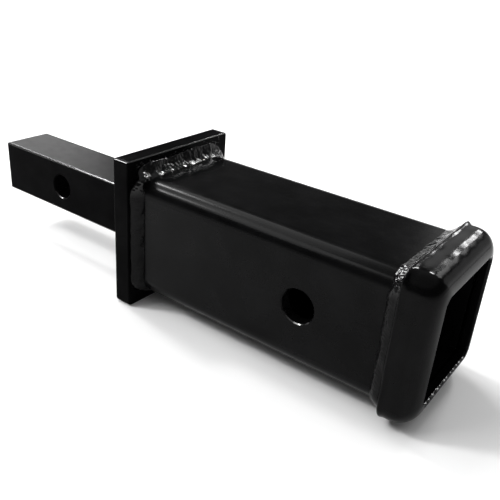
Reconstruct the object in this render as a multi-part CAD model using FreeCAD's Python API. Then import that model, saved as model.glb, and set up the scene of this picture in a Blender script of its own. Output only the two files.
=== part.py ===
import FreeCAD, Part
import math
import os

# Hitch receiver adapter: a solid shank, a stop plate, a receiver tube and a mouth collar, welded together.
# Frame in millimetres: +X from the shank towards the tube's mouth, +Z up, origin at the centre of the
# shank's pin hole.

# Shank: solid square bar with a cross hole for the hitch pin.
SHANK_SIDE = 30.0
SHANK_EDGE_ROUND = 1.0
SHANK_END_ROUND = 0.8
SHANK_PIN_TO_PLATE = 70.0
SHANK_PIN_TO_END = 50.5
SHANK_PIN_HOLE = 14.3

# Stop plate: welded square across the end of the shank, with a margin of plate round the tube.
PLATE_THICKNESS = 9.5
PLATE_SIDE_MARGIN = 6.35
PLATE_TOP_MARGIN = 9.75
PLATE_BOTTOM_MARGIN = 6.95
PLATE_TOP_CORNER = 1.5
PLATE_BOTTOM_CORNER = 2.5
PLATE_EDGE_ROUND = 0.6

# Receiver tube: square tube butted on the plate's front face.
TUBE_SIDE = 63.5
TUBE_WALL = 6.1
TUBE_OUTER_CORNER = 9.0
TUBE_INNER_CORNER = 3.0
TUBE_LENGTH = 153.5
RECEIVER_PIN_TO_MOUTH = 61.4
RECEIVER_PIN_HOLE = 16.7

# Broken edge at the mouths of both pin holes.
PIN_HOLE_EDGE_BREAK = 0.5

# Mouth collar: formed ring over the tube's end, flared at its back edge, where its top corners are
# tighter, and rolled in at the front.
COLLAR_CLEARANCE = 0.1
COLLAR_WALL = 4.0
COLLAR_FLARE = 0.45
COLLAR_BACK_TOP_CORNER = 6.5
COLLAR_CORNER = 9.0
COLLAR_OVERLAP = 10.8
COLLAR_FLARE_LENGTH = 4.0
COLLAR_BAND = 1.8
COLLAR_ROLL_LENGTH = 10.6
MOUTH_CLEARANCE = 0.4
MOUTH_CORNER = 4.5
LIP_EDGE = 0.4

# Fillet welds: the leg along the bar or tube, the rise up the face that it stands on or the inset from that
# face's rim, the thickness left at the toe, and the share of the rise left half way along the leg.
SHANK_WELD_LEG = 6.0
SHANK_WELD_RISE = 6.0
PLATE_WELD_LEG = 5.0
PLATE_WELD_SIDE_INSET = 1.75
PLATE_WELD_TOP_INSET = 3.55
PLATE_WELD_BOTTOM_RISE = 1.8
COLLAR_WELD_LEG = 5.6
COLLAR_WELD_INSET = 0.6
COLLAR_WELD_BOTTOM_RISE = 1.6
WELD_TOE = 0.4
WELD_CROWN = 0.66

# Places along X and sizes that the pieces share.
SHANK_END_X = -SHANK_PIN_TO_END
PLATE_BACK_X = SHANK_PIN_TO_PLATE
PLATE_FRONT_X = PLATE_BACK_X + PLATE_THICKNESS
TUBE_END_X = PLATE_FRONT_X + TUBE_LENGTH
COLLAR_BACK_X = TUBE_END_X - COLLAR_OVERLAP
COLLAR_BAND_X = COLLAR_BACK_X + COLLAR_FLARE_LENGTH
COLLAR_ROLL_X = COLLAR_BAND_X + COLLAR_BAND
MOUTH_X = COLLAR_ROLL_X + COLLAR_ROLL_LENGTH
RECEIVER_PIN_X = MOUTH_X - RECEIVER_PIN_TO_MOUTH
TUBE_BORE = TUBE_SIDE - 2 * TUBE_WALL
MOUTH_SIDE = TUBE_BORE + 2 * MOUTH_CLEARANCE


def outline(x, width, height, top_corner, bottom_corner, raised=0.0):
    """Closed rounded rectangle in the plane at x, with its own radius for the top and bottom corners."""
    corners = []
    for side_y, side_z, start, radius in (
        (1, 1, 0, top_corner),
        (-1, 1, 90, top_corner),
        (-1, -1, 180, bottom_corner),
        (1, -1, 270, bottom_corner),
    ):
        centre_y = side_y * (width / 2 - radius)
        centre_z = raised + side_z * (height / 2 - radius)
        points = []
        for turn in (0, 45, 90):
            angle = math.radians(start + turn)
            y = centre_y + radius * math.cos(angle)
            z = centre_z + radius * math.sin(angle)
            points.append(FreeCAD.Vector(x, y, z))
        corners.append(points)
    edges = []
    for number, points in enumerate(corners):
        following = corners[(number + 1) % len(corners)]
        edges.append(Part.Arc(*points).toShape())
        edges.append(Part.LineSegment(points[-1], following[0]).toShape())
    return Part.Wire(edges)


def square_outline(x, side, corner):
    return outline(x, side, side, corner, corner)


def prism(wire, length):
    """Solid that runs from a wire along +X."""
    return Part.Face(wire).extrude(FreeCAD.Vector(length, 0, 0))


def cross_hole(x, diameter, span):
    """Cutter for a round hole along Y through a piece as wide as span, with both mouths broken."""
    radius = diameter / 2
    along_y = FreeCAD.Vector(0, 1, 0)
    cutter = Part.makeCylinder(radius, span, FreeCAD.Vector(x, -span / 2, 0), along_y)
    for side in (-1, 1):
        mouth = FreeCAD.Vector(x, side * span / 2, 0)
        inwards = FreeCAD.Vector(0, -side, 0)
        wide = radius + PIN_HOLE_EDGE_BREAK
        cutter = cutter.fuse(Part.makeCone(wide, radius, PIN_HOLE_EDGE_BREAK, mouth, inwards))
    return cutter


def edges_at(shape, x):
    """Edges that lie wholly in the plane at x."""
    return [edge for edge in shape.Edges if edge.BoundBox.XMax - x < 1e-4 and x - edge.BoundBox.XMin < 1e-4]


def make_shank():
    length = PLATE_BACK_X - SHANK_END_X
    bar = prism(square_outline(SHANK_END_X, SHANK_SIDE, SHANK_EDGE_ROUND), length)
    bar = bar.makeFillet(SHANK_END_ROUND, edges_at(bar, SHANK_END_X))
    return bar.cut(cross_hole(0, SHANK_PIN_HOLE, SHANK_SIDE))


def make_stop_plate():
    width = TUBE_SIDE + 2 * PLATE_SIDE_MARGIN
    height = TUBE_SIDE + PLATE_TOP_MARGIN + PLATE_BOTTOM_MARGIN
    raised = (PLATE_TOP_MARGIN - PLATE_BOTTOM_MARGIN) / 2
    rim = outline(PLATE_BACK_X, width, height, PLATE_TOP_CORNER, PLATE_BOTTOM_CORNER, raised)
    plate = prism(rim, PLATE_THICKNESS)
    rims = edges_at(plate, PLATE_BACK_X) + edges_at(plate, PLATE_FRONT_X)
    return plate.makeFillet(PLATE_EDGE_ROUND, rims)


def make_receiver_tube():
    tube = prism(square_outline(PLATE_FRONT_X, TUBE_SIDE, TUBE_OUTER_CORNER), TUBE_LENGTH)
    bore = prism(square_outline(PLATE_FRONT_X, TUBE_BORE, TUBE_INNER_CORNER), TUBE_LENGTH)
    return tube.cut(bore).cut(cross_hole(RECEIVER_PIN_X, RECEIVER_PIN_HOLE, TUBE_SIDE))


def make_mouth_collar():
    side = TUBE_SIDE + 2 * (COLLAR_CLEARANCE + COLLAR_WALL)
    roll_depth = (side - MOUTH_SIDE) / 2 + LIP_EDGE
    back_side = side + 2 * COLLAR_FLARE
    rings = [
        outline(COLLAR_BACK_X, back_side, back_side, COLLAR_BACK_TOP_CORNER, COLLAR_CORNER),
        square_outline(COLLAR_BAND_X, side, COLLAR_CORNER),
    ]
    for turn in (0, 18, 36, 54, 72, 90):
        angle = math.radians(turn)
        drop = 1 - math.cos(angle)
        x = COLLAR_ROLL_X + COLLAR_ROLL_LENGTH * math.sin(angle)
        corner = COLLAR_CORNER + (MOUTH_CORNER - COLLAR_CORNER) * drop
        rings.append(square_outline(x, side - 2 * roll_depth * drop, corner))
    collar = Part.makeLoft(rings, True, False)
    pocket_side = TUBE_SIDE + 2 * COLLAR_CLEARANCE
    pocket = prism(square_outline(COLLAR_BACK_X, pocket_side, TUBE_OUTER_CORNER), COLLAR_OVERLAP)
    mouth = prism(square_outline(COLLAR_ROLL_X, MOUTH_SIDE, MOUTH_CORNER), 2 * COLLAR_ROLL_LENGTH)
    return collar.cut(pocket).cut(mouth)


def fillet_weld(root_x, leg, bar_side, bar_corner, side_rise, top_rise, bottom_rise):
    """Convex weld bead round a square bar: leg runs along the bar from root_x, and the three rises are how
    far the bead climbs the face that the bar stands on."""
    rings = []
    for along, share in ((0, 1), (0.5, WELD_CROWN), (1, 0)):
        x = root_x + leg * along
        side = WELD_TOE + (side_rise - WELD_TOE) * share
        top = WELD_TOE + (top_rise - WELD_TOE) * share
        bottom = WELD_TOE + (bottom_rise - WELD_TOE) * share
        width = bar_side + 2 * side
        height = bar_side + top + bottom
        rings.append(outline(x, width, height, bar_corner + top, bar_corner + bottom, (top - bottom) / 2))
    bead = Part.makeLoft(rings, True, False)
    bar = prism(square_outline(min(root_x, root_x + leg), bar_side, bar_corner), abs(leg))
    return bead.cut(bar)


def make_shank_weld():
    rises = (SHANK_WELD_RISE, SHANK_WELD_RISE, SHANK_WELD_RISE)
    return fillet_weld(PLATE_BACK_X, -SHANK_WELD_LEG, SHANK_SIDE, SHANK_EDGE_ROUND, *rises)


def make_plate_weld():
    side_rise = PLATE_SIDE_MARGIN - PLATE_WELD_SIDE_INSET
    top_rise = PLATE_TOP_MARGIN - PLATE_WELD_TOP_INSET
    rises = (side_rise, top_rise, PLATE_WELD_BOTTOM_RISE)
    return fillet_weld(PLATE_FRONT_X, PLATE_WELD_LEG, TUBE_SIDE, TUBE_OUTER_CORNER, *rises)


def make_collar_weld():
    rise = COLLAR_CLEARANCE + COLLAR_WALL + COLLAR_FLARE - COLLAR_WELD_INSET
    rises = (rise, rise, COLLAR_WELD_BOTTOM_RISE)
    return fillet_weld(COLLAR_BACK_X, -COLLAR_WELD_LEG, TUBE_SIDE, TUBE_OUTER_CORNER, *rises)


PIECES = {
    "shank": make_shank,
    "stop_plate": make_stop_plate,
    "receiver_tube": make_receiver_tube,
    "mouth_collar": make_mouth_collar,
    "shank_weld": make_shank_weld,
    "plate_weld": make_plate_weld,
    "collar_weld": make_collar_weld,
}

os.makedirs("parts", exist_ok=True)
for name, make in PIECES.items():
    piece = make()
    print(f"{name}: {len(piece.Solids)} solid, valid {piece.isValid()}, {piece.Volume:.0f} cubic mm")
    piece.exportStep(f"parts/{name}.step")
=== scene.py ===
import math
import random

import bmesh
import bpy
from mathutils import Matrix, Vector, noise


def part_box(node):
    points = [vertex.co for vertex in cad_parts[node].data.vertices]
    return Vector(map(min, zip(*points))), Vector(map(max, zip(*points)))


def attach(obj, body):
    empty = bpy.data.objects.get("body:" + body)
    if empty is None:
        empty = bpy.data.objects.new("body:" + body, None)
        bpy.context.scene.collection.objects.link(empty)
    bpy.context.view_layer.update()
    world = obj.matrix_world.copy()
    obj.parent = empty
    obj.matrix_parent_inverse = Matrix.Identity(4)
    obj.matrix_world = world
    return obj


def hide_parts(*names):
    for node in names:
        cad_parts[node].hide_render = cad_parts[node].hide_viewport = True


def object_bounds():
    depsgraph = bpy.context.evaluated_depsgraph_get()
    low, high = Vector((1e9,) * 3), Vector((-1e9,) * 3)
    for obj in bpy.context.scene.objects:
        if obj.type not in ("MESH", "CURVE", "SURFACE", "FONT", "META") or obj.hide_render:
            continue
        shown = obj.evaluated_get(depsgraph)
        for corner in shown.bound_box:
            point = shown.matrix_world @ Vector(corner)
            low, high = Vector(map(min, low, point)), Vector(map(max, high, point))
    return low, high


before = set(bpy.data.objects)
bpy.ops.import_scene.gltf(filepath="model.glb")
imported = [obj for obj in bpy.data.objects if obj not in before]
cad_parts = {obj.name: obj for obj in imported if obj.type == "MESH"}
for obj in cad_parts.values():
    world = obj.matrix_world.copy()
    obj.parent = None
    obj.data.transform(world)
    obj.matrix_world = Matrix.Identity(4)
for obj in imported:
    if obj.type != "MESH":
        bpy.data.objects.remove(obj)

cad_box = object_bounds()


# Shank: a solid square bar of cold drawn steel, sawn to length and drilled across for the hitch pin.
# It is welded to the back of the stop plate, and its smooth faces carry a level coat of black paint.
shank_low, shank_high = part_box("shank")
BLACK = (0.0014, 0.0014, 0.0015, 1.0)
PALE_BLACK = (0.0036, 0.0036, 0.0038, 1.0)
MOTTLE_PER_METRE = 70.0
MOTTLE_DETAIL = 5.0
BLACK_BELOW = 0.35
PALE_ABOVE = 0.72
HAZE_PER_METRE = 210.0
HAZE_DETAIL = 4.0
HAZE_LOW = 0.3
HAZE_HIGH = 0.7
HAZE_GAIN = 0.02
HAZE_LOSS = 0.03
PEEL_DETAIL = 3.0
STREAKS_PER_METRE = (14.0, 900.0, 900.0)
RUBBED_SHARE = 0.4
HOLE_BREAK = 0.0005
LOW_RIM = 0.6
EDGE_GLOSS = 0.16
EDGE_SHINE = 0.9
TOP_BLEND = 0.005
SHANK_HOLE = (0.0, 0.00715)
SHANK_EDGE_ROUND = 0.001


def add_node(tree, kind, inputs=None, **settings):
    """New node with its settings, its constant inputs and the links that feed its other inputs."""
    node = tree.nodes.new(kind)
    for name, value in settings.items():
        setattr(node, name, value)
    for name, value in (inputs or {}).items():
        if isinstance(value, bpy.types.NodeSocket):
            tree.links.new(value, node.inputs[name])
        else:
            node.inputs[name].default_value = value
    return node


def vector_maths(tree, operation, *values):
    """Vector that a vector maths node makes of its values."""
    node = add_node(tree, "ShaderNodeVectorMath", dict(enumerate(values)), operation=operation)
    return node.outputs["Vector"]


def maths(tree, operation, *values):
    """Number that a maths node makes of its values."""
    node = add_node(tree, "ShaderNodeMath", dict(enumerate(values)), operation=operation)
    return node.outputs["Value"]


def rubbed_edges(tree, place, low, high, edge_round, hole):
    """Mask that is 1 on the level edges of a box from low to high, and on the lower rim of a cross hole,
    where its pin rubs."""
    middle = (low + high) / 2
    inside = (high - low) / 2 - Vector((edge_round, edge_round, edge_round))
    distance = vector_maths(tree, "ABSOLUTE", vector_maths(tree, "SUBTRACT", place, middle))
    beyond = vector_maths(tree, "SUBTRACT", distance, inside)
    sides = add_node(tree, "ShaderNodeSeparateXYZ", {"Vector": beyond}).outputs
    long_edge = maths(tree, "MINIMUM", sides["Y"], sides["Z"])
    end_edge = maths(tree, "MINIMUM", sides["X"], sides["Z"])
    nearest = maths(tree, "MAXIMUM", long_edge, end_edge)
    if hole:
        hole_x, hole_radius = hole
        from_hole = vector_maths(tree, "SUBTRACT", place, (hole_x, 0, 0))
        flat = vector_maths(tree, "MULTIPLY", from_hole, (1, 0, 1))
        reach = add_node(tree, "ShaderNodeVectorMath", {0: flat}, operation="LENGTH").outputs["Value"]
        rim = maths(tree, "SUBTRACT", hole_radius + HOLE_BREAK, reach)
        height = add_node(tree, "ShaderNodeSeparateXYZ", {"Vector": flat}).outputs["Z"]
        under = maths(tree, "MULTIPLY_ADD", height, -1.0, -LOW_RIM * hole_radius)
        nearest = maths(tree, "MAXIMUM", nearest, maths(tree, "MINIMUM", rim, under))
    worn = {"Value": nearest, "From Max": RUBBED_SHARE * edge_round}
    return add_node(tree, "ShaderNodeMapRange", worn).outputs["Result"]


def painted_steel(
    name, gloss, peel_size, peel_height, shine, streak_height=0.0, box=None, hole=None, top=None
):
    """Black paint on steel: mottled tone, uneven gloss, orange peel of a given size and height in metres,
    faint streaks along X on rolled stock, a polish rubbed onto the edges of a box and a cross hole, and more
    shine above a height, given with it as top."""
    paint = bpy.data.materials.new(name)
    paint.use_nodes = True
    tree = paint.node_tree
    tree.nodes.clear()
    place = add_node(tree, "ShaderNodeTexCoord").outputs["Object"]
    spots = {"Vector": place, "Scale": MOTTLE_PER_METRE, "Detail": MOTTLE_DETAIL}
    mottle = add_node(tree, "ShaderNodeTexNoise", spots)
    tone = add_node(tree, "ShaderNodeValToRGB", {"Fac": mottle.outputs["Fac"]})
    tone.color_ramp.elements[0].position = BLACK_BELOW
    tone.color_ramp.elements[0].color = BLACK
    tone.color_ramp.elements[1].position = PALE_ABOVE
    tone.color_ramp.elements[1].color = PALE_BLACK
    clouds = {"Vector": place, "Scale": HAZE_PER_METRE, "Detail": HAZE_DETAIL}
    haze = add_node(tree, "ShaderNodeTexNoise", clouds)
    spread = {"Value": haze.outputs["Fac"], "From Min": HAZE_LOW, "From Max": HAZE_HIGH}
    sheen = add_node(tree, "ShaderNodeMapRange", spread)
    sheen.inputs["To Min"].default_value = gloss - HAZE_GAIN
    sheen.inputs["To Max"].default_value = gloss + HAZE_LOSS
    pores = {"Vector": place, "Scale": 1.0 / peel_size, "Detail": PEEL_DETAIL}
    peel = add_node(tree, "ShaderNodeTexNoise", pores)
    skin = add_node(tree, "ShaderNodeBump", {"Height": peel.outputs["Fac"], "Distance": peel_height})
    if streak_height:
        stretched = add_node(tree, "ShaderNodeMapping", {"Vector": place, "Scale": STREAKS_PER_METRE})
        along = {"Vector": stretched.outputs["Vector"], "Scale": 1.0}
        streaks = add_node(tree, "ShaderNodeTexNoise", along)
        rolled = {"Height": streaks.outputs["Fac"], "Distance": streak_height}
        skin = add_node(tree, "ShaderNodeBump", {**rolled, "Normal": skin.outputs["Normal"]})
    coat = {
        "Base Color": tone.outputs["Color"],
        "Roughness": sheen.outputs["Result"],
        "Normal": skin.outputs["Normal"],
        "Specular IOR Level": shine,
    }
    if box:
        rubbed = rubbed_edges(tree, place, *box, hole)
        polish = {"Value": rubbed, "To Min": sheen.outputs["Result"], "To Max": EDGE_GLOSS}
        coat["Roughness"] = add_node(tree, "ShaderNodeMapRange", polish).outputs["Result"]
        brighten = {"Value": rubbed, "To Min": shine, "To Max": EDGE_SHINE}
        coat["Specular IOR Level"] = add_node(tree, "ShaderNodeMapRange", brighten).outputs["Result"]
    if top:
        top_height, top_shine = top
        height = add_node(tree, "ShaderNodeSeparateXYZ", {"Vector": place}).outputs["Z"]
        lift = {"Value": height, "From Min": top_height - TOP_BLEND, "From Max": top_height}
        clean = add_node(tree, "ShaderNodeMapRange", lift)
        clean.inputs["To Min"].default_value = shine
        clean.inputs["To Max"].default_value = top_shine
        coat["Specular IOR Level"] = clean.outputs["Result"]
    surface = add_node(tree, "ShaderNodeBsdfPrincipled", coat)
    add_node(tree, "ShaderNodeOutputMaterial", {"Surface": surface.outputs["BSDF"]})
    return paint


def finish_node(node_name, paint):
    """Puts one paint on every slot of a piece that keeps its own solid."""
    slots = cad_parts[node_name].data.materials
    slots.clear()
    slots.append(paint)


shank_paint = painted_steel(
    "shank_paint",
    gloss=0.32,
    peel_size=0.0022,
    peel_height=0.000012,
    shine=0.006,
    box=(shank_low, shank_high, SHANK_EDGE_ROUND),
    hole=SHANK_HOLE,
)
finish_node("shank", shank_paint)


# Stop plate: a rectangle cut from hot rolled steel plate, standing square between the shank and the tube.
# The paint flowed out smoother on its flat faces than on the shank, and its edges are rubbed bright.
plate_low, plate_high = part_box("stop_plate")
PLATE_EDGE_ROUND = 0.0006
plate_paint = painted_steel(
    "plate_paint",
    gloss=0.08,
    peel_size=0.0016,
    peel_height=0.00001,
    shine=0.009,
    box=(plate_low, plate_high, PLATE_EDGE_ROUND),
)
finish_node("stop_plate", plate_paint)


# Shank weld: one fillet bead laid round the shank on the back of the plate.
# It is plain weld metal with the ripples of each arc pool, painted over with the rest.
MILLIMETRE = 0.001
BEAD_STEP = 0.25 * MILLIMETRE
BEAD_SINK = 0.4 * MILLIMETRE
BEAD_CROWN = 0.12
TOP_CROWN = -0.08
BEAD_FACETS = 20
MERGE_DISTANCE = BEAD_STEP / 10
RIPPLE_PITCH = 2.3 * MILLIMETRE
RIPPLE_BOW = 0.5
RIPPLE_DRIFT = 0.9
RIPPLE_MEAN = 0.64
RIPPLE_SHARE = 0.3
COARSE_SHARE = 0.8
TOE_SHARE = 0.12
CORNER_FOCUS = 4
SIDE_WANDER = 0.1
TOP_WANDER = 0.13
COARSE_LUMP = 2.0
FINE_LUMP = 0.9
FINE_SEED = Vector((5.0, 2.0, 9.0))
WANDER_LENGTH = 6.0
WANDER_SEED = Vector((0.0, 3.1, 0.4))
WANDER_SPREAD = Vector((900.0, 0.0, 0.0))
SWAY_LENGTH = 4.0
SWAY_SEED = Vector((8.2, 0.0, 1.7))
SWAY_SPREAD = Vector((0.0, 700.0, 0.0))


def new_piece(name, mesh, paint):
    """Finished mesh as a painted object that rides on the part."""
    shape = bpy.data.meshes.new(name)
    bmesh.ops.recalc_face_normals(mesh, faces=mesh.faces)
    mesh.to_mesh(shape)
    mesh.free()
    for polygon in shape.polygons:
        polygon.use_smooth = True
    shape.materials.append(paint)
    piece = bpy.data.objects.new(name, shape)
    bpy.context.scene.collection.objects.link(piece)
    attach(piece, "root")
    return piece


def core_point(point, core):
    """Nearest point, at the same X, of a square bar's core, whose corners are the bar's corner centres."""
    return Vector((point.x, max(-core, min(core, point.y)), max(-core, min(core, point.z))))


def outwards(point, core):
    """Unit direction away from the core of a square bar at a point beside the bar."""
    away = point - core_point(point, core)
    return away.normalized()


def sweep_round_bar(mesh, core, radius, along):
    """Carries the loop of edges in a mesh once round a square bar, from the middle of its underside."""
    front = list(mesh.edges)
    travelled = 0.0
    turn = Matrix.Identity(3)
    centre = Vector((0, core, -core))
    for side in range(5):
        run = core if side in (0, 4) else 2 * core
        steps = round(run / BEAD_STEP)
        moves = [Matrix.Translation(turn @ Vector((0, run / steps, 0)))] * steps
        lengths = [run / steps] * steps
        if side < 4:
            turns = round(radius * math.pi / 2 / BEAD_STEP)
            swing = Matrix.Rotation(math.pi / 2 / turns, 4, "X")
            pivot = Matrix.Translation(turn @ centre)
            moves += [pivot @ swing @ pivot.inverted()] * turns
            lengths += [radius * math.pi / 2 / turns] * turns
        for move, length in zip(moves, lengths):
            travelled += length
            grown = bmesh.ops.extrude_edge_only(mesh, edges=front)["geom"]
            tips = {part for part in grown if isinstance(part, bmesh.types.BMVert)}
            front = [part for part in grown if isinstance(part, bmesh.types.BMEdge)]
            front = [edge for edge in front if all(tip in tips for tip in edge.verts)]
            bmesh.ops.transform(mesh, matrix=move, verts=list(tips))
            for tip in tips:
                tip[along] = travelled
        turn = Matrix.Rotation(math.pi / 2, 3, "X") @ turn
    bmesh.ops.remove_doubles(mesh, verts=mesh.verts, dist=MERGE_DISTANCE)


def weld_bead(
    name, paint, root_x, towards, bar_side, bar_corner, leg, rises, lumps, clump=0.0, swell=0.0
):
    """Fillet bead round a square bar, from root_x along the bar. The rises are how far it climbs the face
    at its sides, top and bottom, and lumps gives the height of its unevenness on the same three runs. At
    the near top corner, where the bead was started and stopped, clump adds to the lumps and swell to the
    crown."""
    half = bar_side / 2
    core = half - bar_corner
    side_rise, top_rise, bottom_rise = rises
    mesh = bmesh.new()
    along = mesh.verts.layers.float.new("along")
    across = mesh.verts.layers.float.new("across")
    section = [(-BEAD_SINK, -BEAD_SINK, -1.0), (-BEAD_SINK, side_rise, -1.0)]
    for facet in range(BEAD_FACETS + 1):
        share = facet / BEAD_FACETS
        bulge = BEAD_CROWN * math.sin(math.pi * share)
        section.append(((share + bulge) * leg, (1 - share + bulge) * side_rise, share))
    section.append((leg, -BEAD_SINK, -1.0))
    loop = []
    for run, rise, share in section:
        point = mesh.verts.new((root_x + towards * run, 0, -half - rise))
        point[across] = share
        loop.append(point)
    for number, point in enumerate(loop):
        mesh.edges.new((point, loop[(number + 1) % len(loop)]))
    sweep_round_bar(mesh, core, bar_corner + side_rise / 2, along)

    for point in mesh.verts:
        away = outwards(point.co, core)
        slope = away.z * away.z
        if away.z > 0:
            rise_here = side_rise + (top_rise - side_rise) * slope
            lump_here = lumps[0] + (lumps[1] - lumps[0]) * slope
        else:
            rise_here = side_rise + (bottom_rise - side_rise) * slope
            lump_here = lumps[0] + (lumps[2] - lumps[0]) * slope
        near_corner = max(0.0, -2 * away.y * away.z) ** CORNER_FOCUS
        lump_here += clump * near_corner
        place = point.co / MILLIMETRE
        climb = (point.co - core_point(point.co, core)).length - bar_corner
        run = (point.co.x - root_x) * towards
        wander = noise.noise(place / WANDER_LENGTH + WANDER_SEED + root_x * WANDER_SPREAD)
        sway = SIDE_WANDER + (TOP_WANDER - SIDE_WANDER) * slope
        if climb > 0:
            point.co += away * climb * (rise_here * (1 + sway * wander) / side_rise - 1)
        if point[across] < 0:
            continue
        if away.z > 0:
            crown = (TOP_CROWN - BEAD_CROWN) * slope + swell * near_corner
            bulge = crown * math.sin(math.pi * point[across])
            point.co += away * rise_here * bulge
            point.co.x += towards * leg * bulge
        stray = noise.noise(place / SWAY_LENGTH + SWAY_SEED + root_x * SWAY_SPREAD)
        point.co.x += towards * run * sway * stray
        bow = 2 * point[across] - 1
        phase = point[along] / RIPPLE_PITCH + RIPPLE_BOW * bow * bow + RIPPLE_DRIFT * wander
        ripple = abs(math.sin(math.pi * phase)) - RIPPLE_MEAN
        coarse = noise.noise(place / COARSE_LUMP)
        fine = noise.noise(place / FINE_LUMP + FINE_SEED)
        middle = math.sin(math.pi * (TOE_SHARE + (1 - 2 * TOE_SHARE) * point[across]))
        height = lump_here * middle * (RIPPLE_SHARE * ripple + COARSE_SHARE * coarse + fine)
        point.co += (away + Vector((towards, 0, 0))).normalized() * height
    return new_piece(name, mesh, paint)


weld_paint = painted_steel(
    "weld_paint", gloss=0.1, peel_size=0.0009, peel_height=0.00004, shine=0.08, top=(0.028, 0.27)
)
shank_bead = weld_bead(
    "shank_weld_bead",
    weld_paint,
    root_x=plate_low.x,
    towards=-1,
    bar_side=shank_high.z - shank_low.z,
    bar_corner=1.0 * MILLIMETRE,
    leg=6.0 * MILLIMETRE,
    rises=(6.0 * MILLIMETRE, 6.0 * MILLIMETRE, 6.0 * MILLIMETRE),
    lumps=(0.2 * MILLIMETRE, 0.2 * MILLIMETRE, 0.2 * MILLIMETRE),
)
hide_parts("shank_weld")


# Receiver tube: a length of square steel tube with rolled corners, drilled through both sides for the pin.
# It is butted on the plate's front face, and the mill's rolls left faint streaks along it under the paint.
tube_low, tube_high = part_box("receiver_tube")
TUBE_HOLE = (0.1772, 0.00835)
TUBE_EDGE_ROUND = 0.0005
tube_paint = painted_steel(
    "tube_paint",
    gloss=0.17,
    peel_size=0.0019,
    peel_height=0.000008,
    streak_height=0.00004,
    shine=0.06,
    box=(tube_low, tube_high, TUBE_EDGE_ROUND),
    hole=TUBE_HOLE,
)
finish_node("receiver_tube", tube_paint)


# Plate weld: the fillet bead that joins the tube to the front of the plate.
# Its top run is coarse and lumpy, its side runs are smoother, and its bottom run is thin.
TUBE_CORNER = 9.0 * MILLIMETRE
plate_bead = weld_bead(
    "plate_weld_bead",
    weld_paint,
    root_x=plate_high.x,
    towards=1,
    bar_side=tube_high.z - tube_low.z,
    bar_corner=TUBE_CORNER,
    leg=5.0 * MILLIMETRE,
    rises=(4.6 * MILLIMETRE, 6.2 * MILLIMETRE, 1.8 * MILLIMETRE),
    lumps=(0.13 * MILLIMETRE, 0.19 * MILLIMETRE, 0.08 * MILLIMETRE),
    clump=0.22 * MILLIMETRE,
    swell=0.32,
)
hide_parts("plate_weld")


# Weld spatter: drops of weld metal thrown onto the plate and the tube beside the plate weld.
# They froze where they landed and were painted over.
SPATTER_COUNT = 170
SPATTER_SMALLEST = 0.18 * MILLIMETRE
SPATTER_LARGEST = 0.5 * MILLIMETRE
SPATTER_FLATNESS = 0.6
PLATE_SPATTER_NEAR = 4.5 * MILLIMETRE
PLATE_SPATTER_FAR = 9.2 * MILLIMETRE
TUBE_SPATTER_NEAR = 5.0 * MILLIMETRE
TUBE_SPATTER_FAR = 14.0 * MILLIMETRE
TUBE_SPATTER_WIDTH = 0.7
TUBE_SPATTER_EVERY = 3
chance = random.Random(7)
spatter = bmesh.new()
for drop in range(SPATTER_COUNT):
    size = chance.uniform(SPATTER_SMALLEST, SPATTER_LARGEST)
    y = chance.uniform(tube_low.y, tube_high.y)
    if drop % TUBE_SPATTER_EVERY:
        up = chance.triangular(PLATE_SPATTER_NEAR, PLATE_SPATTER_FAR, PLATE_SPATTER_NEAR)
        place = Vector((plate_high.x, y, tube_high.z + up))
        flatten = Matrix.Diagonal((SPATTER_FLATNESS, 1, 1, 1))
    else:
        out = chance.triangular(TUBE_SPATTER_NEAR, TUBE_SPATTER_FAR, TUBE_SPATTER_NEAR)
        place = Vector((plate_high.x + out, y * TUBE_SPATTER_WIDTH, tube_high.z))
        flatten = Matrix.Diagonal((1, 1, SPATTER_FLATNESS, 1))
    bmesh.ops.create_icosphere(
        spatter, subdivisions=2, radius=size, matrix=Matrix.Translation(place) @ flatten
    )
new_piece("weld_spatter", spatter, weld_paint)


# Mouth collar: a ring of steel formed over the tube's end, flared at the back and rolled in at the mouth.
# It was worked hot, so its skin and its back edge are uneven, and the paint on it flowed out glossy.
collar_low, collar_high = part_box("mouth_collar")
COLLAR_CORNER = 9.0 * MILLIMETRE
COLLAR_BACK_TOP_CORNER = 6.5 * MILLIMETRE
COLLAR_SIDE_HALF = 35.85 * MILLIMETRE
COLLAR_BACK_HALF = collar_high.z
COLLAR_FLARE_LENGTH = 4.0 * MILLIMETRE
COLLAR_ROLL_LENGTH = 10.6 * MILLIMETRE
COLLAR_EDGE_ROUND = 1.1 * MILLIMETRE
MOUTH_HALF = 26.05 * MILLIMETRE
MOUTH_CORNER = 4.5 * MILLIMETRE
LIP_ROUND = 1.0 * MILLIMETRE
POCKET_HALF = 31.85 * MILLIMETRE
LIP_BREAK = 0.3 * LIP_ROUND
CORNER_FACETS = 10
STRAIGHT_CUTS = 22
EDGE_TURNS = (0, 30, 60, 90)
FLARE_SHARES = (0.7, 0.45, 0.2, 0.0)
ROLL_TURNS = range(0, 85, 12)
SKIN_SWELL = 0.14 * MILLIMETRE
SKIN_LENGTH = 8.0
BACK_EDGE_SWELL = 0.3 * MILLIMETRE
BACK_EDGE_LENGTH = 5.0
BACK_EDGE_SEED = Vector((4, 1, 7))


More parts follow.
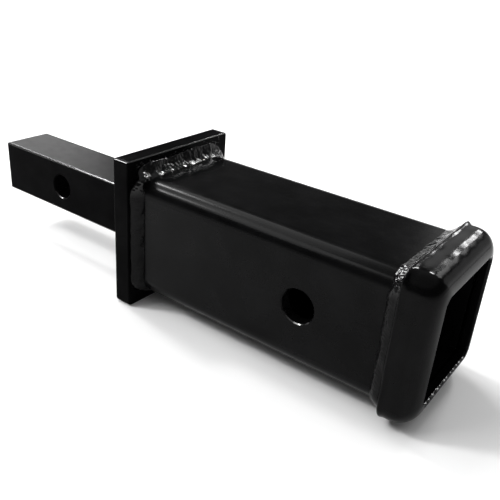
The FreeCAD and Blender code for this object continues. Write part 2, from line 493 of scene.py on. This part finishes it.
def rounded_ring(mesh, x, half, corner, top_corner):
    """Wire loop of a rounded square across the bar, with the same count of points for every size."""
    upright = Matrix.Rotation(math.pi / 2, 4, "Y") @ Matrix.Rotation(math.pi / 4, 4, "Z")
    square = Matrix.Translation((x, 0, 0)) @ upright
    made = bmesh.ops.create_circle(mesh, cap_ends=True, segments=4, radius=half * math.sqrt(2), matrix=square)
    top = [point for point in made["verts"] if point.co.z > 0]
    bottom = [point for point in made["verts"] if point.co.z < 0]
    for points, radius in ((top, top_corner), (bottom, corner)):
        bmesh.ops.bevel(
            mesh,
            geom=points,
            offset=radius,
            offset_type="OFFSET",
            segments=CORNER_FACETS,
            profile=0.5,
            affect="VERTICES",
            material=-1,
        )
    cap = next(iter(mesh.faces))
    straight = sorted(cap.edges, key=lambda edge: -edge.calc_length())[:4]
    bmesh.ops.subdivide_edges(mesh, edges=straight, cuts=STRAIGHT_CUTS)
    cap = next(iter(mesh.faces))
    loop = list(cap.edges)
    bmesh.ops.delete(mesh, geom=[cap], context="FACES_ONLY")
    return loop


collar = bmesh.new()
back_x = collar_low.x
mouth_x = collar_high.x
roll_x = mouth_x - COLLAR_ROLL_LENGTH
tube_end_x = tube_high.x
stations = [
    (back_x, POCKET_HALF, COLLAR_CORNER, COLLAR_CORNER),
    (back_x, COLLAR_BACK_HALF - 2 * COLLAR_EDGE_ROUND, COLLAR_CORNER, COLLAR_BACK_TOP_CORNER),
]
for turn in EDGE_TURNS:
    sink = COLLAR_EDGE_ROUND * (1 - math.sin(math.radians(turn)))
    x = back_x + COLLAR_EDGE_ROUND * (1 - math.cos(math.radians(turn)))
    stations.append((x, COLLAR_BACK_HALF - sink, COLLAR_CORNER, COLLAR_BACK_TOP_CORNER))
for share in FLARE_SHARES:
    x = back_x + COLLAR_FLARE_LENGTH * (1 - share) + COLLAR_EDGE_ROUND * share
    flare = (COLLAR_BACK_HALF - COLLAR_SIDE_HALF) * share * share
    top_corner = COLLAR_CORNER + (COLLAR_BACK_TOP_CORNER - COLLAR_CORNER) * share * share
    stations.append((x, COLLAR_SIDE_HALF + flare, COLLAR_CORNER, top_corner))
for turn in ROLL_TURNS:
    drop = 1 - math.cos(math.radians(turn))
    x = roll_x + COLLAR_ROLL_LENGTH * math.sin(math.radians(turn))
    half = COLLAR_SIDE_HALF - (COLLAR_SIDE_HALF - MOUTH_HALF) * drop
    corner = COLLAR_CORNER + (MOUTH_CORNER - COLLAR_CORNER) * drop
    stations.append((x, half, corner, corner))
stations += [
    (mouth_x, MOUTH_HALF + LIP_ROUND, MOUTH_CORNER, MOUTH_CORNER),
    (mouth_x - LIP_BREAK, MOUTH_HALF + LIP_BREAK, MOUTH_CORNER, MOUTH_CORNER),
    (mouth_x - LIP_ROUND, MOUTH_HALF, MOUTH_CORNER, MOUTH_CORNER),
    (mouth_x - 2 * LIP_ROUND, MOUTH_HALF, MOUTH_CORNER, MOUTH_CORNER),
    (tube_end_x, MOUTH_HALF, MOUTH_CORNER, MOUTH_CORNER),
    (tube_end_x, POCKET_HALF, COLLAR_CORNER, COLLAR_CORNER),
]
rings = [rounded_ring(collar, *station) for station in stations]
for ring, following in zip(rings, rings[1:] + rings[:1]):
    bmesh.ops.bridge_loops(collar, edges=ring + following)
for point in collar.verts:
    away = outwards(point.co, COLLAR_SIDE_HALF - COLLAR_CORNER)
    place = point.co / MILLIMETRE
    near_back = max(0.0, 1 - (point.co.x - back_x) / COLLAR_FLARE_LENGTH)
    if max(abs(point.co.y), abs(point.co.z)) > POCKET_HALF + LIP_ROUND:
        skin = SKIN_SWELL * noise.noise(place / SKIN_LENGTH)
        edge = BACK_EDGE_SWELL * near_back * noise.noise(place / BACK_EDGE_LENGTH + BACK_EDGE_SEED)
        point.co += away * (skin + edge)
        underside = max(0.0, -point.co.z / COLLAR_SIDE_HALF)
        point.co -= away * (COLLAR_BACK_HALF - COLLAR_SIDE_HALF) * near_back * underside
collar_paint = painted_steel("collar_paint", gloss=0.12, peel_size=0.0026, peel_height=0.00002, shine=0.06)
collar_piece = new_piece("rolled_mouth_collar", collar, collar_paint)
smooth = collar_piece.modifiers.new("smooth", "SUBSURF")
smooth.levels = 2
smooth.render_levels = 2
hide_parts("mouth_collar")


# Paint sags: flat drops of the wet coat that ran down inside the mouth and dried along its lower lip.
# They are thick glossy paint, stuck to the round of the lip in an uneven row.
SAG_COUNT = 12
SAG_SMALLEST = 0.4 * MILLIMETRE
SAG_LARGEST = 0.68 * MILLIMETRE
SAG_STRETCH = 2.4
SAG_FLATNESS = 0.22
SAG_SLACK = 0.9 * MILLIMETRE
SAG_TILT = math.radians(17)
SAG_INSET = 0.75 * LIP_ROUND
SAG_SINK = 0.05 * LIP_ROUND
sag_reach = MOUTH_HALF - MOUTH_CORNER
sag_shape = Matrix.Rotation(SAG_TILT, 4, "Y") @ Matrix.Diagonal((1, SAG_STRETCH, SAG_FLATNESS, 1))
sags = bmesh.new()
for sag in range(SAG_COUNT):
    size = chance.uniform(SAG_SMALLEST, SAG_LARGEST)
    y = sag_reach * (2 * sag / (SAG_COUNT - 1) - 1) + chance.uniform(-SAG_SLACK, SAG_SLACK)
    place = Matrix.Translation((mouth_x - SAG_INSET, y, -MOUTH_HALF - SAG_SINK))
    bmesh.ops.create_icosphere(sags, subdivisions=3, radius=size, matrix=place @ sag_shape)
sag_paint = painted_steel("sag_paint", gloss=0.1, peel_size=0.0009, peel_height=0.00001, shine=0.9)
new_piece("lip_paint_sags", sags, sag_paint)


# Collar weld: the fillet bead that joins the tube to the collar's back edge.
# It wanders along the top, ends in a clump at the near top corner and is as rough down the sides.
collar_weld_paint = painted_steel(
    "collar_weld_paint", gloss=0.1, peel_size=0.0009, peel_height=0.00003, shine=0.07, top=(0.028, 0.22)
)
collar_bead = weld_bead(
    "collar_weld_bead",
    collar_weld_paint,
    root_x=collar_low.x,
    towards=-1,
    bar_side=tube_high.z - tube_low.z,
    bar_corner=TUBE_CORNER,
    leg=5.6 * MILLIMETRE,
    rises=(3.95 * MILLIMETRE, 3.95 * MILLIMETRE, 1.6 * MILLIMETRE),
    lumps=(0.13 * MILLIMETRE, 0.15 * MILLIMETRE, 0.05 * MILLIMETRE),
    clump=0.3 * MILLIMETRE,
)
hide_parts("collar_weld")


# Studio: a round pale floor in a room that is white near the floor, dim above it and pale overhead.
# Soft lamps stand far round the part, each where one of its faces or edges mirrors it.
FLOOR_RADIUS = 3.0
FLOOR_FACETS = 96
FLOOR_WHITE = (0.93, 0.93, 0.93, 1.0)
FLOOR_ROUGHNESS = 0.9
floor_mesh = bmesh.new()
bmesh.ops.create_circle(floor_mesh, cap_ends=True, segments=FLOOR_FACETS, radius=FLOOR_RADIUS)
bmesh.ops.translate(floor_mesh, vec=(0, 0, cad_box[0][2]), verts=floor_mesh.verts)
floor_shape = bpy.data.meshes.new("floor")
floor_mesh.to_mesh(floor_shape)
floor_mesh.free()
floor = bpy.data.objects.new("floor", floor_shape)
bpy.context.scene.collection.objects.link(floor)
floor_paint = bpy.data.materials.new("floor_white")
floor_paint.use_nodes = True
floor_surface = floor_paint.node_tree.nodes["Principled BSDF"]
floor_surface.inputs["Base Color"].default_value = FLOOR_WHITE
floor_surface.inputs["Roughness"].default_value = FLOOR_ROUGHNESS
floor_surface.inputs["Specular IOR Level"].default_value = 0.0
floor_shape.materials.append(floor_paint)

OVERHEAD_LIGHT = 0.7
HORIZON_LIGHT = 0.13
FLOOR_GLOW = 1.2
GLOW_TOP = 0.22
OVERHEAD_FROM = 0.55
OVERHEAD_FULL = 0.8
world = bpy.data.worlds.new("studio")
world.use_nodes = True
bpy.context.scene.world = world
sky = world.node_tree
sky.nodes.clear()
direction = add_node(sky, "ShaderNodeTexCoord").outputs["Generated"]
height = add_node(sky, "ShaderNodeSeparateXYZ", {"Vector": direction}).outputs["Z"]
glow_band = {"Value": height, "From Max": GLOW_TOP, "To Min": FLOOR_GLOW, "To Max": HORIZON_LIGHT}
low_sky = add_node(sky, "ShaderNodeMapRange", glow_band, interpolation_type="SMOOTHSTEP").outputs["Result"]
top_band = {"Value": height, "From Min": OVERHEAD_FROM, "From Max": OVERHEAD_FULL}
top_light = {"To Min": low_sky, "To Max": OVERHEAD_LIGHT}
bands = add_node(sky, "ShaderNodeMapRange", {**top_band, **top_light}, interpolation_type="SMOOTHSTEP")
glow = add_node(sky, "ShaderNodeBackground", {"Strength": bands.outputs["Result"]})
add_node(sky, "ShaderNodeOutputWorld", {"Surface": glow.outputs["Background"]})

LAMP_AIM = Vector((0.1, 0.0, 0.02))


def soft_lamp(name, azimuth, elevation, distance, width, height, radiance):
    """Rectangular lamp that faces the part from a direction in degrees, with the radiance of its surface."""
    lamp = bpy.data.lights.new(name, "AREA")
    lamp.shape = "RECTANGLE"
    lamp.size = width
    lamp.size_y = height
    lamp.energy = radiance * math.pi * width * height
    raised = Matrix.Rotation(-math.radians(elevation), 3, "Y") @ Vector((1, 0, 0))
    towards_lamp = Matrix.Rotation(math.radians(azimuth), 3, "Z") @ raised
    holder = bpy.data.objects.new(name, lamp)
    holder.location = LAMP_AIM + distance * towards_lamp
    holder.rotation_euler = (-towards_lamp).to_track_quat("-Z", "Y").to_euler()
    bpy.context.scene.collection.objects.link(holder)


soft_lamp("front_key", azimuth=209, elevation=39, distance=4.4, width=0.6, height=0.85, radiance=46.0)
soft_lamp("front_fill", azimuth=223, elevation=46, distance=4.4, width=2.0, height=1.5, radiance=5.5)
soft_lamp("left_fill", azimuth=172, elevation=58, distance=4.4, width=3.6, height=1.8, radiance=3.6)
soft_lamp("left_key", azimuth=172, elevation=49, distance=4.4, width=0.5, height=0.5, radiance=68.0)
soft_lamp("back_spot", azimuth=91, elevation=38, distance=5.2, width=0.8, height=0.36, radiance=75.0)
soft_lamp("back_strip", azimuth=89, elevation=26, distance=5.2, width=0.9, height=0.24, radiance=40.0)
soft_lamp("lip_card", azimuth=75, elevation=31, distance=5.2, width=1.1, height=0.9, radiance=5.0)
soft_lamp("back_card", azimuth=98, elevation=22, distance=6.0, width=1.7, height=1.5, radiance=1.2)
soft_lamp("shank_card", azimuth=150, elevation=21, distance=6.0, width=2.3, height=1.5, radiance=20.0)
soft_lamp("right_card", azimuth=64, elevation=12, distance=6.0, width=2.8, height=2.0, radiance=0.7)

CAMERA_PLACE = Vector((0.29735, -0.24531, 0.1485))
CAMERA_AIM = Vector((0.12816, 0.0, -0.00135))
CAMERA_ROLL = math.radians(4.61)
IMAGE_WIDTH = 500
FOCAL_PIXELS = 654.2
lens = bpy.data.cameras.new("camera")
lens.sensor_width = 36.0
lens.lens = FOCAL_PIXELS / IMAGE_WIDTH * lens.sensor_width
camera = bpy.data.objects.new("camera", lens)
facing = (CAMERA_AIM - CAMERA_PLACE).to_track_quat("-Z", "Y").to_matrix().to_4x4()
rolled_facing = facing @ Matrix.Rotation(CAMERA_ROLL, 4, "Z")
camera.matrix_world = Matrix.Translation(CAMERA_PLACE) @ rolled_facing
bpy.context.scene.collection.objects.link(camera)
bpy.context.scene.camera = camera
bpy.context.scene.view_settings.view_transform = "Standard"
